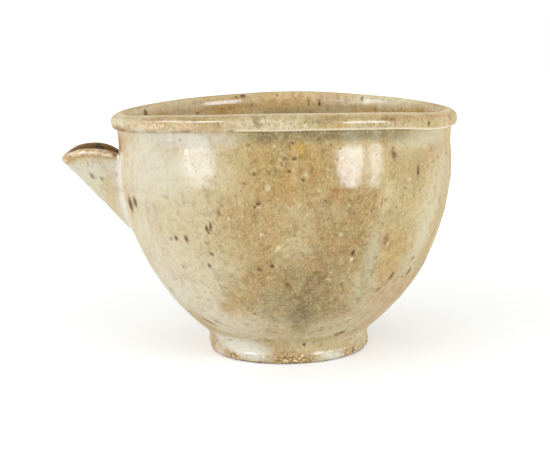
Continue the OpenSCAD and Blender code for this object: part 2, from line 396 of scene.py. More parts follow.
def make_foot_ring():
    """The ring that the bowl stands on, with rubbed edges and a slightly lumpy side."""
    inner = FOOT_R - FOOT_W
    corner = np.radians(np.linspace(0, 90, 7))
    section = [(inner, z) for z in np.linspace(FOOT_H, FOOT_ROUND, 5)[:-1]]
    section += [(inner + FOOT_ROUND * (1 - math.cos(a)), FOOT_ROUND * (1 - math.sin(a))) for a in corner]
    section += [(FOOT_R - FOOT_ROUND * (1 - math.sin(a)), FOOT_ROUND * (1 - math.cos(a))) for a in corner]
    side = np.linspace(FOOT_ROUND, FOOT_H, 24)[1:]
    section += [(FOOT_R + 0.25 * bump_at(2.4, 1.6, z) - 0.5 * (z / FOOT_H) ** 2, z) for z in side]
    points = revolved(section, FOOT_COLUMNS)
    turn = np.arctan2(points[:, 1], points[:, 0])
    swirl = turn + 0.12 * points[:, 2]
    lumps = waves(swirl, (5, 0.10, 0.2), (12, 0.07, 1.1), (23, 0.05, 2.0), (41, 0.03, 0.7))
    outer = ease(FOOT_R - 2, FOOT_R, np.hypot(points[:, 0], points[:, 1]))
    height, crust = crumbs(turn, points[:, 2])
    points[:, :2] *= (1 + outer * (lumps + height) / FOOT_R)[:, None]
    inside = np.hypot(points[:, 0], points[:, 1]) < FOOT_R - 2 * FOOT_ROUND
    faces = grid_faces(len(section), FOOT_COLUMNS, wrap_rows=True)
    return make_piece("foot_ring", points, faces, "foot_clay", clay=inside, crust=crust * outer)


def blend_curve(a, corner, b, steps):
    """A hollow fillet's face from a to b, along the lines that meet in the corner."""
    t = np.linspace(0, 1, steps)[:, None]
    return (1 - t) ** 2 * a + 2 * t * (1 - t) * corner + t ** 2 * b


def make_foot_seam():
    """The fillet between the foot's side and the bowl's underside, flush with both."""
    down = unit(np.array([0.3, -1]))
    corner = WALL_START
    face = blend_curve(corner + FOOT_FILLET * down, corner, corner + FOOT_FILLET * WALL_OUT, 12)
    sunk = (-0.03, 0.03)
    section = [*(face + sunk), corner + (-1.5, 1.8), corner + (-1.8, -1)]
    points = revolved(section)
    return make_piece("foot_seam", thrown(points), grid_faces(len(section), COLUMNS, wrap_rows=True), "glaze")


# Spout: a scoop whose level slices are half ovals that grow from the foot of the keel to the edge
ROOT_X = NECK_R - 2 * WALL
SPOUT_L = TIP_X - ROOT_X
KEEL_Z = TIP_Z - TIP_H - SPOUT_L * KEEL_SLOPE
EDGE_HALF = (TIP_X - NECK_R) / 2
WALL_X = math.sqrt(NECK_R ** 2 - (SPOUT_W / 2) ** 2) - ROOT_X
SPOUT_HALF_W = SPOUT_W / 2 / math.sqrt(1 - (WALL_X / SPOUT_L) ** 2)
BURIED = 1.6


def edge_z(a):
    """Height of the spout's upper edge, by the angle round the oval from the tip."""
    along = SPOUT_L * (1 - np.cos(a)) / EDGE_HALF - 1 + FAR_SHIFT * np.clip(2 * np.sin(a), 0, 1)
    fall = np.where(along > 0, abs(along) * NEAR_FALL ** (a < 0), abs(along)) ** ARCH_POWER
    arch = SPOUT_ARCH * (1 + FAR_RISE * np.maximum(np.sin(a), 0)) * (1 - fall)
    return TIP_Z - EDGE_ROUND + arch + waves(a, (5, 0.07, 0.6), (9, 0.05, 2.0))


def end_face(a):
    """Height of the upright face under the edge, which is tallest at the tip."""
    return TIP_H * (SIDE_FACE + (1 - SIDE_FACE) * np.cos(a) ** 2) - EDGE_ROUND


def scoop(v, a, inset):
    """A point of the scoop: v goes from bottom 0 to edge 1, inset from outside 0 to inside 1."""
    low = KEEL_Z + inset * SPOUT_FLOOR
    top = edge_z(a) - (1 - inset) * end_face(a)
    trough = np.sqrt(np.maximum(1 - (1 - np.minimum(v, 1)) ** 2, 0))
    return np.array([
        -ROOT_X - (SPOUT_L - inset * LIP_T) * v * np.cos(a),
        (SPOUT_HALF_W - inset * SPOUT_WALL) * trough * np.sin(a),
        low + (top - low) * v])


def past_wall(p, sunk=0.0):
    """How far a point stands out past the wall, or past a layer sunk below it."""
    return math.hypot(p[0], p[1]) - (outside_r(p[2]) - sunk)


def halved(low, high, outside):
    """The place between low, which is outside, and high, which is not, where that changes."""
    for _ in range(30):
        middle = (low + high) / 2
        low, high = (middle, high) if outside(middle) else (low, middle)
    return (low + high) / 2


def spout_angle(v, inset, sunk):
    """Angle round the oval at which a slice goes under the wall."""
    return halved(0, math.pi / 2, lambda a: past_wall(scoop(v, a, inset), sunk) > 0)


def keel_share(inset, sunk):
    """Share of the height at which the keel goes under the wall."""
    return halved(0.9, 0.02, lambda v: past_wall(scoop(v, 0, inset), sunk) > 0)


def make_spout():
    """The open trough: up its outside, over the rounded edge and down its inside."""
    columns, rows, over_edge = 81, 36, 11
    top = 0.985
    loops = []
    depth = []
    for inset in (0, 1):
        start = keel_share(inset, BURIED) + 0.004
        for v in start + (top - start) * np.linspace(0, 1, rows) ** 1.4:
            reach = spout_angle(v, inset, BURIED)
            loops.append(np.array([scoop(v, a, inset) for a in np.linspace(-reach, reach, columns)]))
            depth.append((top - v) * (TIP_Z - KEEL_Z))
    outside, inside = loops[:rows], loops[rows:]
    pull = 1.3 + 0.8 * bump_at(0, 0.5, np.linspace(-1, 1, columns))
    upright = np.array([0, 0, 0.8])

    def handle(side):
        return pull[:, None] * unit(unit(side[-1] - side[-3]) + upright)

    leaving, arriving = handle(outside), handle(inside)
    edge = [bezier(outside[-1], outside[-1] + leaving, inside[-1] + arriving, inside[-1], t)
            for t in np.linspace(0, 1, over_edge + 2)[1:-1]]
    section = [*outside, *edge, *inside[::-1]]
    depth = np.array(depth)
    thin = np.concatenate([
        bump_at(0, 1.3, depth[:rows]), np.ones(over_edge), bump_at(0, 1.0, depth[:rows - 1:-1])])
    # dark: the trough's inside, and the edge over to it, sooner on the far side, painted dark brown: partly
    # iron-rich glaze, partly painted shade in the trough
    far = ease(-0.1, 0.3, np.linspace(-1, 1, columns))
    over = np.linspace(0, 1, over_edge)[:, None]
    bright = np.zeros((rows, columns))
    dark = np.concatenate([bright, over ** (3 - 2.3 * far), bright + 1]).ravel()
    points = np.concatenate(section)
    count = len(section)
    faces = grid_faces(count, columns, wrap_rows=True, wrap_columns=False)
    for side in (0, columns - 1):
        for i in range(rows - 1):
            p, q = i * columns + side, (i + 1) * columns + side
            r, s = (count - 2 - i) * columns + side, (count - 1 - i) * columns + side
            faces.append((p, q, r, s))
        faces.append([i * columns + side for i in range(rows - 1, count - rows + 1)])
    lumps = waves(points[:, 1] * 0.35 + points[:, 2] * 0.2, (1, 0.10, 0.3), (2.3, 0.07, 1.9))
    points[:, 0] -= lumps * ease(NECK_R, NECK_R + 4, -points[:, 0])
    return make_piece("spout", points, faces, "glaze", thin=np.repeat(thin, columns), dark=dark,
                      pale=near_seam(points) * (1 - dark))


SEAM_STEPS = 44
SEAM_ABOVE = 0.035


def seam_line():
    """Height shares and angles of the line where the spout's outside meets the wall."""
    keel = keel_share(0, 0)
    v_line = keel + (1 + SEAM_ABOVE - keel) * np.linspace(0, 1, SEAM_STEPS) ** 2
    half = [(v, 0 if i == 0 else spout_angle(v, 0, 0)) for i, v in enumerate(v_line)]
    return [(v, -a) for v, a in half[:0:-1]] + half


def near_seam(points):
    """1 beside the spout's root, where pale slip was spread out and a highlight is painted, falling to 0 away
    from it.
    """
    root = np.array([scoop(v, a, 0) for v, a in seam_line()])
    out = (root - (0, 0, TIP_Z)) * (0, 1, 1)
    root = root + SMEAR / 2 * unit(out)
    smear = np.zeros(len(points))
    close = np.flatnonzero(points[:, 0] < ROOT_X / -2)
    gap = np.linalg.norm(points[close][:, None] - root[None], axis=2).min(axis=1)
    smear[close] = bump_at(0, SMEAR, gap) * ease(TIP_Z + 3.5, TIP_Z + 1, points[close, 2])
    return smear


def make_spout_seam():
    """The clay smoothed along the line where the spout meets the wall, flush with both."""
    line = seam_line()
    corner = np.array([scoop(v, a, 0) for v, a in line])
    run = unit(np.gradient(corner, axis=0))
    sections = []
    for i, (v, a) in enumerate(line):
        p = corner[i]
        slope = (outside_r(p[2] + 1) - outside_r(p[2] - 1)) / 2
        wall_out = unit(np.array([p[0], p[1], -slope * math.hypot(p[0], p[1])]))
        by_v = (scoop(v + 0.01, a, 0) - scoop(v - 0.01, a, 0)) / 0.02
        by_a = (scoop(v, a + 0.01, 0) - scoop(v, a - 0.01, 0)) / 0.02
        spout_out = unit(np.cross(by_v, by_a))
        on_wall = np.cross(run[i], wall_out)
        on_wall *= np.sign(on_wall @ spout_out)
        on_spout = np.cross(run[i], spout_out)
        on_spout *= np.sign(on_spout @ wall_out)
        end = abs(i / (SEAM_STEPS - 1) - 1)
        leg = SPOUT_FILLET * (1 + 0.12 * math.sin(7 * end + 1)) * (1 - 0.86 * end ** 5)
        foot = p + leg * on_wall
        foot[:2] *= (outside_r(foot[2]) - 0.04) / math.hypot(foot[0], foot[1])
        share = np.linalg.lstsq(np.stack([by_v, by_a], axis=1), leg * on_spout, rcond=None)[0]
        tip = scoop(v + share[0], a + share[1], 0) - 0.04 * spout_out
        face = blend_curve(foot, p, tip, 11)
        sections.append([*face, p - 1.2 * spout_out - 0.5 * wall_out, p - 1.2 * wall_out])
    points = np.array(sections)
    rows, columns = points.shape[:2]
    faces = grid_faces(rows, columns)
    faces += [tuple(range(columns)), tuple(range((rows - 1) * columns, rows * columns))]
    points = points.reshape(-1, 3)
    return make_piece("spout_seam", points, faces, "glaze", pale=near_seam(points))


makers = make_bowl, make_rim, make_foot_ring, make_foot_seam, make_spout, make_spout_seam
pieces = [make() for make in makers]
rim = pieces[1]

# Camera: the photograph's frame is 550 by 450 pixels
FRAME_W, FRAME_H = 550, 450
FOCAL_PX = 1273
SENSOR = 36
CAMERA_BACK, CAMERA_UP = 445.4, 116.5
CAMERA_TURN, CAMERA_DOWN, CAMERA_ROLL = (math.radians(a) for a in (0.517, 9.32, -1.221))


def make_camera():
    data = bpy.data.cameras.new("camera")
    data.sensor_width = SENSOR
    data.lens = SENSOR * FOCAL_PX / FRAME_W
    data.clip_start = 0.01
    made = new_object("camera", data)
    turn = Matrix.Rotation(CAMERA_TURN, 4, "Z") @ Matrix.Rotation(math.pi / 2 - CAMERA_DOWN, 4, "X") \
        @ Matrix.Rotation(CAMERA_ROLL, 4, "Z")
    made.matrix_world = Matrix.Translation(Vector((0, -CAMERA_BACK, CAMERA_UP)) * MM) @ turn
    bpy.context.scene.camera = made
    return made


camera = make_camera()
bpy.context.view_layer.update()


# Finding places on the object by pixels of the photograph

def surface_tree():
    """All pieces as one tree of faces, and the piece that each face belongs to."""
    points, faces, owners = [], [], []
    for made in pieces:
        first = len(points)
        points += [v.co.copy() for v in made.data.vertices]
        faces += [tuple(first + i for i in p.vertices) for p in made.data.polygons]
        owners += [made] * len(made.data.polygons)
    return BVHTree.FromPolygons(points, faces), owners


tree, face_owners = surface_tree()

# Least share of its true size that the photograph shows of a mark on a slanting surface
STEEPEST = 0.3
Oval = namedtuple("Oval", "middle facing along short long piece")
IN_FRONT = Vector((1, 1, 1))
BEHIND = Vector((1, -1, 1))


def oval_at(spot, flip=IN_FRONT):
    """The oval on the surface under a spot of the photograph, or of a view mirrored to the back."""
    eye = camera.matrix_world
    start = eye.translation * flip
    sight = Vector(((spot.x_px - FRAME_W / 2) / FOCAL_PX, (FRAME_H / 2 - spot.y_px) / FOCAL_PX, -1))
    middle, facing, face, _ = tree.ray_cast(start, (eye.to_3x3() @ sight).normalized() * flip)
    if middle is None:
        raise ValueError(f"no surface at pixel {spot.x_px}, {spot.y_px}")
    pixel = (middle - start).length / sight.length / FOCAL_PX / MM
    level = Vector((0, 0, 1)).cross(facing).normalized()
    rise = facing.cross(level)
    right, up, _ = (axis * flip for axis in eye.to_3x3().col)
    wide = spot.wide * pixel / max(abs(level @ right), STEEPEST)
    tall = spot.tall * pixel / max(abs(rise @ up), STEEPEST)
    lean = math.radians(spot.lean + (90 if wide > tall else 0))
    along = math.sin(lean) * level + math.cos(lean) * rise
    return Oval(middle / MM, facing, along, *sorted((wide / 2, tall / 2)), face_owners[face])


# Finish

def tone(red, green, blue):
    """A colour given in screen values from 0 to 255."""
    channel = lambda c: c / 12.92 if c <= 0.04045 else ((c + 0.055) / 1.055) ** 2.4
    return (*(channel(c / 255) for c in (red, green, blue)), 1)


class Graph:
    """Short names for the nodes of a material or a world."""

    def __init__(self, owner):
        owner.use_nodes = True
        self.owner = owner
        self.tree = owner.node_tree
        self.tree.nodes.clear()

    def node(self, kind, inputs, **settings):
        made = self.tree.nodes.new("ShaderNode" + kind)
        for key, value in settings.items():
            setattr(made, key, value)
        for socket, value in inputs.items():
            if isinstance(value, bpy.types.NodeSocket):
                self.tree.links.new(value, made.inputs[socket])
            else:
                made.inputs[socket].default_value = value
        return made.outputs

    def math(self, operation, *values):
        return self.node("Math", dict(enumerate(values)), operation=operation)[0]

    def add(self, a, b):
        return self.math("ADD", a, b)

    def times(self, a, b):
        return self.math("MULTIPLY", a, b)

    def vector(self, operation, *values):
        return self.node("VectorMath", dict(enumerate(values)), operation=operation)[0]

    def ramp(self, value, low, high, to_low=0.0, to_high=1.0):
        """A smooth change from to_low, where value is at low, to to_high."""
        return self.node("MapRange", {0: value, 1: low, 2: high, 3: to_low, 4: to_high},
                         interpolation_type="SMOOTHSTEP", clamp=False)[0]

    def noise(self, at, size, detail=2.0, rough=0.5, output=0):
        inputs = {"Vector": at, "Scale": 1 / size, "Detail": detail, "Roughness": rough}
        return self.node("TexNoise", inputs)[output]

    def shaken(self, at, size, reach, detail=2.0):
        """Places moved about by a noise of some size."""
        drift = self.vector("SUBTRACT", self.noise(at, size, detail, output=1), (0.5, 0.5, 0.5))
        return self.vector("MULTIPLY_ADD", drift, (reach, reach, reach), at)

    def cells(self, at, size):
        return self.node("TexVoronoi", {"Vector": at, "Scale": 1 / size})

    def mix(self, share, a, b):
        return self.node("Mix", {0: share, 6: a, 7: b}, data_type="RGBA")[2]

    def blend(self, share, a, b):
        return self.node("Mix", {0: share, 2: a, 3: b}, data_type="FLOAT")[0]

    def mask(self, name):
        return self.node("Attribute", {}, attribute_name=name)[2]

    def inside(self, at, oval, soft, spread=1.0):
        """1 inside an oval, which spread enlarges, fading out past its border."""
        offset = self.vector("SUBTRACT", at, oval.middle)
        along = self.vector("PROJECT", offset, oval.along)
        shrink = oval.short / oval.long - 1
        shaped = self.vector("MULTIPLY_ADD", along, (shrink, shrink, shrink), offset)
        away = self.node("VectorMath", {0: shaped}, operation="LENGTH")[1]
        return self.ramp(away, spread * oval.short * (1 + soft), spread * oval.short * (1 - soft))


# Marks: middle and size in pixels of the photograph, strength, and lean from upright in degrees
Mark = namedtuple("Mark", "x_px y_px wide tall share lean", defaults=(0,))
# Iron spots that burnt through the glaze, and how far they bleed into it
SPOT_SPREAD = 1.25
IRON_MARKS = [Mark(*values) for values in (
    # On the spout
    (87.7, 163.2, 2.2, 4.2, 0.5), (91.8, 176, 3.6, 5.6, 0.62, -20), (102, 179, 3.6, 3.8, 0.55),
    (116.3, 174, 3, 3.4, 0.45), (122.4, 190.5, 2, 3.4, 0.45), (83.3, 155.5, 1.8, 4, 0.5),
    (70, 156.5, 3, 2.4, 0.5), (104.5, 153.5, 3, 2.4, 0.55), (114.5, 155, 3.4, 3, 0.6),
    # Left of the body
    (130.6, 204.5, 4.6, 11.5, 0.85, 2), (135, 202, 4, 8.5, 0.8, -4), (157.4, 168.6, 3.2, 2.8, 0.35),
    (166.7, 197.2, 4, 3.2, 0.4), (155, 208.5, 3, 7, 0.4, -15), (178, 202.5, 3, 2, 0.3),
    (203, 187, 2.4, 7, 0.35, -10), (186, 160.7, 2.4, 2, 0.45), (172.5, 143, 6, 3, 0.35),
    (221.5, 206, 3, 2.6, 0.5), (218.3, 213, 3.2, 6.5, 0.6, 10), (206.8, 228.8, 3, 6.5, 0.8, -12),
    (210.5, 227, 2.6, 8, 0.85), (208.5, 233, 2.8, 3, 0.7), (216, 235.7, 1.3, 12, 0.4, -42),
    (178.5, 230, 2.4, 3.6, 0.3), (176.2, 238.1, 3.2, 4.4, 0.85), (171, 238.4, 3, 3.8, 0.55),
    (186.2, 238.6, 3.4, 5.2, 0.8, -12), (207.2, 243.2, 5.5, 3.2, 0.5), (212, 254.1, 4, 3.2, 0.7, 30),
    (209.4, 265.6, 3.2, 4.6, 0.75), (183.8, 267, 3.4, 3.8, 0.5, -15), (176.4, 278.5, 2.2, 3.2, 0.5),
    (202, 282.3, 3, 4.2, 0.35, -20), (171, 289.5, 2, 8, 0.5, -55), (210, 322.2, 2, 9, 0.65, -58),
    (218.5, 322, 1.6, 11, 0.5, -60), (230, 340, 3.2, 2.2, 0.55), (211, 292.8, 2.2, 2.2, 0.3),
    (243, 303.2, 4, 3.2, 0.45), (224, 305, 3, 3.4, 0.3),
    # Middle of the body
    (292, 143, 3.2, 2.4, 0.85), (294.3, 158.7, 4.2, 3.2, 0.85), (281.8, 164.4, 3, 4.4, 0.6, -20),
    (289, 171.2, 3.6, 2.8, 1), (254.1, 174, 4, 3.8, 0.75), (302.8, 180.2, 3.4, 2.8, 0.85),
    (243.7, 183.4, 2.6, 2.4, 0.8), (258.2, 203.6, 4, 3.2, 0.95), (254.5, 207.5, 2.8, 2.4, 0.8),
    (311.9, 170.5, 2.8, 6, 0.5), (318.6, 138.8, 3.2, 2.8, 0.7), (340, 148.8, 2.8, 2.4, 0.6),
    (337.5, 159.5, 1.5, 4.2, 0.6), (326.2, 200.5, 3.2, 2.6, 0.7), (311, 203.8, 3, 2.4, 0.4),
    (345.8, 223.2, 3.2, 2.4, 0.55), (306.5, 151.2, 3, 2.2, 0.5), (282.5, 143.5, 2.4, 2.8, 0.4),
    (240.5, 191, 1.6, 2.4, 0.5), (262, 245, 3.6, 2.6, 0.6, 20), (259.5, 269.6, 4.6, 3.6, 0.75),
    (240.7, 258.7, 2.8, 3.2, 0.5), (232, 233, 3, 2.4, 0.4), (272.1, 266.3, 3.6, 3.4, 0.95),
    (287.5, 284.8, 3.4, 3.4, 0.85), (352.6, 253.2, 3.4, 4.8, 1), (354, 262, 3, 3.4, 0.5),
    (335.1, 299.4, 2.8, 2.2, 0.8), (333.5, 304, 1.8, 7.5, 0.5, 10), (342, 285, 2.6, 4.2, 0.65),
    (336.5, 334.4, 5, 4, 0.6, -25), (341.5, 332.6, 5, 3.6, 0.65, -20), (354.3, 330.3, 4.4, 2.2, 0.45, -15),
    (322, 328, 4.2, 1.8, 0.5), (304, 344.4, 3.2, 2.6, 0.85), (268.6, 341, 3.2, 2, 0.5),
    (313.6, 318.5, 3, 3.4, 0.35), (348.5, 279.4, 1.8, 2.6, 0.6),
    # Right of the body
    (386.5, 238, 4, 5, 0.5), (385, 242.5, 2.6, 5, 0.55), (390.5, 243.5, 2.2, 4, 0.4),
    (391.5, 276, 2.8, 8.5, 0.75, 24), (408.3, 271.5, 2.8, 7.5, 0.6, 20), (412.6, 258.3, 3.2, 4.2, 0.55, 25),
    (402, 277, 2.4, 3, 0.4, 30), (394, 290.5, 2.4, 3, 0.3), (378.4, 289, 4.2, 2.8, 0.8, -40),
    (371.6, 297.5, 2.6, 3.2, 0.5, 15), (362, 274, 2.8, 5, 0.4), (372, 274, 1.8, 3.2, 0.5),
    (418.2, 169.5, 2.8, 10, 0.7), (418.2, 172.5, 3, 4, 0.85), (393, 148.5, 1.8, 4.6, 0.7, 10),
    (394, 154.5, 4.2, 8.4, 0.8, -20), (405, 188, 3, 2.8, 0.6), (415.5, 189.7, 1.8, 2.6, 0.45),
    (382, 201.5, 2, 7.6, 0.6), (385.5, 200, 2.4, 3, 0.5), (396.6, 207, 2.6, 2.2, 0.7),
    (398, 214, 2, 12, 0.25), (354.5, 213.4, 3.2, 2.8, 0.55), (435, 187.8, 2, 4.2, 0.45),
    (444, 166, 2, 3.2, 0.4), (446, 153, 2.2, 2.6, 0.5), (362, 223, 2.4, 2.4, 0.5),
    (382.5, 224, 2.6, 3.6, 0.5), (365, 170, 2, 10, 0.35, 5), (367, 155, 2.4, 4, 0.4),
    # On the rim and inside
    (428.8, 123.8, 2.2, 5.6, 0.75, 8), (392, 119.5, 4.2, 3.4, 0.75), (395.3, 122, 2.4, 2.4, 0.5),
    (449.8, 117.8, 1.8, 4.6, 0.5), (143.5, 119, 6, 2.6, 0.4), (244.5, 126.5, 2.6, 3, 0.35),
    (236, 97, 3, 2, 0.7), (243, 96, 5, 3, 0.8), (277, 95, 2, 3.4, 0.6), (308.7, 104, 1.8, 8, 0.6),
    (319.5, 104, 2.2, 7, 0.8), (362, 98, 1.8, 5, 0.6), (145.5, 113, 2.2, 6, 0.75, -25),
    (197.5, 112.5, 3, 4, 0.7), (252, 105, 2, 5, 0.5), (187.5, 131, 5, 1.6, 0.5), (231, 131, 6, 1.6, 0.6))]

# Iron spots on the back, in a view mirrored there
BACK_MARKS = [Mark(*values) for values in (
    (164, 182, 3.4, 8, 0.7, -8), (214, 160, 3.6, 4, 0.7), (236, 222, 3.2, 7, 0.6, 10),
    (300, 190, 3.6, 3.4, 0.8), (330, 252, 3.2, 6, 0.6, -15), (372, 176, 2.8, 9, 0.7),
    (402, 232, 3.6, 4.6, 0.7), (268, 292, 4, 3.4, 0.6), (352, 300, 2.6, 7, 0.6, 25),
    (198, 276, 3.4, 4, 0.6))]

# Chips of thick pale glaze
CHIPS = [Mark(*values) for values in (
    (184, 232.5, 4, 2.6, 0.5), (183.5, 241.5, 3, 3, 0.5), (268, 188, 5.5, 6, 0.55),
    (278, 248.5, 4, 7, 0.75, 30), (282.5, 245, 3, 3, 0.5), (299, 206, 3, 4, 0.5), (306, 174, 4, 6, 0.5),
    (319, 190, 3.4, 3.4, 0.45), (229, 219, 2.6, 4.6, 0.5, -20), (341, 234.5, 3.4, 3, 0.6),
    (328, 279.5, 6, 2.6, 0.55, 15), (349, 318, 7, 2.2, 0.6, -20), (261.5, 234.5, 3.4, 3.4, 0.5),
    (258.5, 208, 5, 2.2, 0.6), (351.5, 259.5, 3, 4, 0.7), (305, 125.5, 3, 3, 0.7),
    (186.3, 151.8, 4, 5, 0.9), (388, 244, 2.4, 3, 0.5), (410, 179, 3.4, 3, 0.5), (204, 152.5, 2.4, 3, 0.4))]

# Broad changes of the glaze: place and size as for the marks, then colour, strength, graininess and lean
Patch = namedtuple("Patch", "x_px y_px wide tall colour share grain lean", defaults=(0,))
MILK = tone(225, 216, 188)
CREAM = tone(222, 206, 165)
SAND = tone(198, 170, 111)
GOLD = tone(178, 142, 70)
KHAKI = tone(160, 124, 61)
OLIVE = tone(131, 100, 38)
SAGE = tone(180, 172, 132)
ROSE = tone(196, 150, 87)
AMBER = tone(182, 126, 52)
RUST = tone(176, 118, 66)
FROST = tone(236, 230, 210)
LILAC = tone(222, 213, 199)
STRAW = tone(214, 202, 160)
PATCHES = [Patch(*values) for values in (
    # Left of the body, milky glaze, and partly painted light: paler where light falls from the left, the
    # lower ones also for the light that the floor throws up
    (152, 172, 76, 84, MILK, 0.9, 0.25), (146, 240, 44, 60, MILK, 0.7, 0.3, -20),
    (185, 222, 66, 50, CREAM, 0.75, 0.5), (190, 268, 64, 60, tone(228, 213, 178), 0.85, 0.5),
    (172, 290, 34, 50, tone(235, 226, 203), 0.8, 0.3, -40),
    (208, 305, 46, 46, tone(236, 224, 192), 0.75, 0.6, -20),
    (186, 139, 100, 18, tone(222, 215, 193), 0.85, 0.25), (210, 175, 50, 50, CREAM, 0.55, 0.6),
    # Middle, thin and golden
    (290, 172, 90, 76, GOLD, 0.8, 1.1), (262, 228, 80, 50, tone(184, 147, 84), 0.7, 1.1),
    (305, 225, 56, 48, SAND, 0.5, 0.9), (352, 196, 54, 18, tone(164, 122, 62), 0.8, 1.0),
    (342, 238, 66, 80, KHAKI, 0.85, 1.1), (258, 284, 24, 54, KHAKI, 0.7, 1.3),
    (306, 296, 66, 70, OLIVE, 0.8, 1.2), (313, 296, 20, 46, tone(122, 92, 44), 0.75, 1.0, 8),
    (297, 320, 26, 38, tone(114, 95, 48), 0.8, 0.9), (272, 306, 26, 34, tone(166, 150, 106), 0.6, 1.0),
    (338, 302, 44, 36, KHAKI, 0.7, 1.3), (250, 325, 50, 24, tone(234, 218, 182), 0.8, 0.6),
    (226, 326, 36, 20, tone(234, 219, 188), 0.7, 0.5), (320, 335, 70, 20, SAND, 0.6, 0.9),
    (228, 308, 20, 14, ROSE, 0.6, 0.8), (302, 148, 16, 14, tone(206, 160, 70), 0.85, 0.7),
    (290, 152, 7, 18, AMBER, 0.8, 0.8), (288.5, 186, 9, 36, tone(192, 144, 74), 0.8, 0.7),
    (313, 175, 7, 20, AMBER, 0.6, 0.8), (336, 192, 18, 15, tone(172, 124, 56), 0.75, 0.8),
    # Right of the body
    (373, 252, 17, 62, tone(191, 181, 143), 0.95, 0.6, 4), (362, 292, 16, 34, SAGE, 0.6, 1.0, 16),
    (394, 258, 22, 70, tone(196, 157, 87), 0.85, 0.8, 4), (384, 300, 40, 40, ROSE, 0.7, 0.8, 30),
    (402, 212, 36, 60, tone(192, 168, 112), 0.75, 0.8), (408, 168, 50, 40, tone(182, 156, 100), 0.8, 0.7),
    (430, 214, 24, 90, STRAW, 0.7, 0.4, 8), (446, 168, 16, 56, tone(208, 184, 148), 0.6, 0.4),
    (424, 138, 66, 18, tone(205, 196, 160), 0.8, 0.3), (418, 246, 12, 60, STRAW, 0.6, 0.4, 16),
    (368, 322, 18, 20, ROSE, 0.6, 0.6, 30), (385, 241, 11, 16, tone(168, 116, 74), 0.65, 0.7, 10),
    # Foot; the pale band along its top at 290, 340 is painted light on the shaded fillet between foot and
    # bowl
    (232, 340, 46, 12, tone(234, 226, 204), 0.85, 0.3), (252, 336, 40, 8, tone(220, 202, 166), 0.7, 0.6),
    (242, 349, 56, 20, FROST, 0.95, 0.2), (266, 357, 26, 8, FROST, 0.9, 0.3),
    (334, 355, 30, 9, FROST, 0.9, 0.3), (290, 356, 50, 10, tone(196, 158, 94), 0.7, 1.5),
    (228, 354, 14, 8, tone(204, 160, 104), 0.8, 1.2), (290, 340, 110, 8, tone(222, 202, 158), 0.75, 0.9),
    (213, 346, 4, 12, RUST, 0.7, 1.0), (219, 351, 11, 10, tone(234, 206, 178), 0.95, 0.4),
    # Spout and the neck above it
    (92, 170, 56, 24, LILAC, 0.85, 0.25), (92, 188, 40, 34, tone(217, 213, 181), 0.8, 0.25, 40),
    (113, 196, 17, 36, tone(214, 186, 134), 0.7, 0.6), (120, 144, 6.4, 22, tone(150, 102, 60), 0.97, 0.8),
    (124.5, 158, 3.4, 18, tone(218, 176, 134), 0.7, 0.5), (123, 140, 7, 20, tone(196, 156, 112), 0.8, 0.5),
    # Rim
    (117, 122, 14, 14, tone(214, 209, 172), 0.85, 0.3), (160, 126, 76, 9, tone(242, 211, 166), 0.85, 1.3),
    (193, 127, 34, 5, tone(226, 182, 142), 0.85, 1.0), (180, 118, 90, 3.4, tone(186, 154, 98), 0.7, 0.8),
    (270, 124, 100, 12, tone(240, 226, 190), 0.75, 1.5), (338, 119, 76, 6, tone(168, 142, 92), 0.7, 1.6),
    (392, 125, 70, 8, tone(188, 168, 128), 0.75, 1.6), (396, 117, 46, 5, tone(146, 118, 74), 0.8, 1.2),
    (430, 117, 36, 4, tone(190, 142, 94), 0.7, 0.8), (444, 121, 16, 9, tone(204, 172, 120), 0.6, 0.6),
    (121, 129.5, 18, 5, tone(160, 106, 58), 0.9, 0.8), (117, 128, 14, 5, tone(156, 102, 54), 0.85, 0.8),
    # Inside, painted paler than the glaze: painted light on the shaded inner wall
    (285, 101, 70, 16, tone(255, 222, 156), 0.85, 0.9), (390, 101, 76, 14, tone(255, 244, 206), 1.0, 0.4),
    (180, 106, 70, 12, tone(248, 228, 184), 0.7, 0.6))]
BACK_PATCHES = [Patch(*values) for values in (
    (160, 190, 90, 100, MILK, 0.8, 0.3), (196, 282, 60, 60, CREAM, 0.7, 0.5, -20),
    (285, 178, 110, 70, GOLD, 0.7, 1.1), (262, 246, 90, 60, SAND, 0.6, 1.0),
    (330, 290, 70, 60, OLIVE, 0.7, 1.2), (352, 232, 60, 80, KHAKI, 0.7, 1.1),
    (412, 196, 40, 110, STRAW, 0.8, 0.5), (384, 262, 20, 70, SAGE, 0.8, 0.6, 8),
    (236, 160, 16, 44, AMBER, 0.5, 0.8), (300, 352, 80, 14, FROST, 0.8, 0.3),
    (230, 350, 30, 12, ROSE, 0.7, 0.9), (320, 138, 150, 12, SAGE, 0.6, 0.5))]
# Patches wider than this wander far at their borders, and smaller ones only a little
BROAD_PX = 20
# How far a patch follows the surface away from its own plane, as a share of its length
PATCH_DEPTH = 0.4
PATCH_SOFT = 0.6
# Size of the noise at the patches' borders, and how far it moves them
WANDER_SIZE, WANDER = 8, 4
FRAY_SIZE, FRAY = 2, 0.9
# Without a seed this noise changes with each run
NOISE_SEED = 5
noise.seed_set(NOISE_SEED)


def covered(points, oval, soft):
    """1 at points inside an oval, fading out past its border."""
    offset = points - np.array(oval.middle)
    along = offset @ np.array(oval.along)
    deep = offset @ np.array(oval.facing)
    across = np.maximum((offset ** 2).sum(axis=1) - along ** 2 - deep ** 2, 0)
    thick = max(oval.short, PATCH_DEPTH * oval.long)
    reach = np.sqrt(across / oval.short ** 2 + (along / oval.long) ** 2 + (deep / thick) ** 2)
    return ease(1 + soft, 1 - soft, reach)


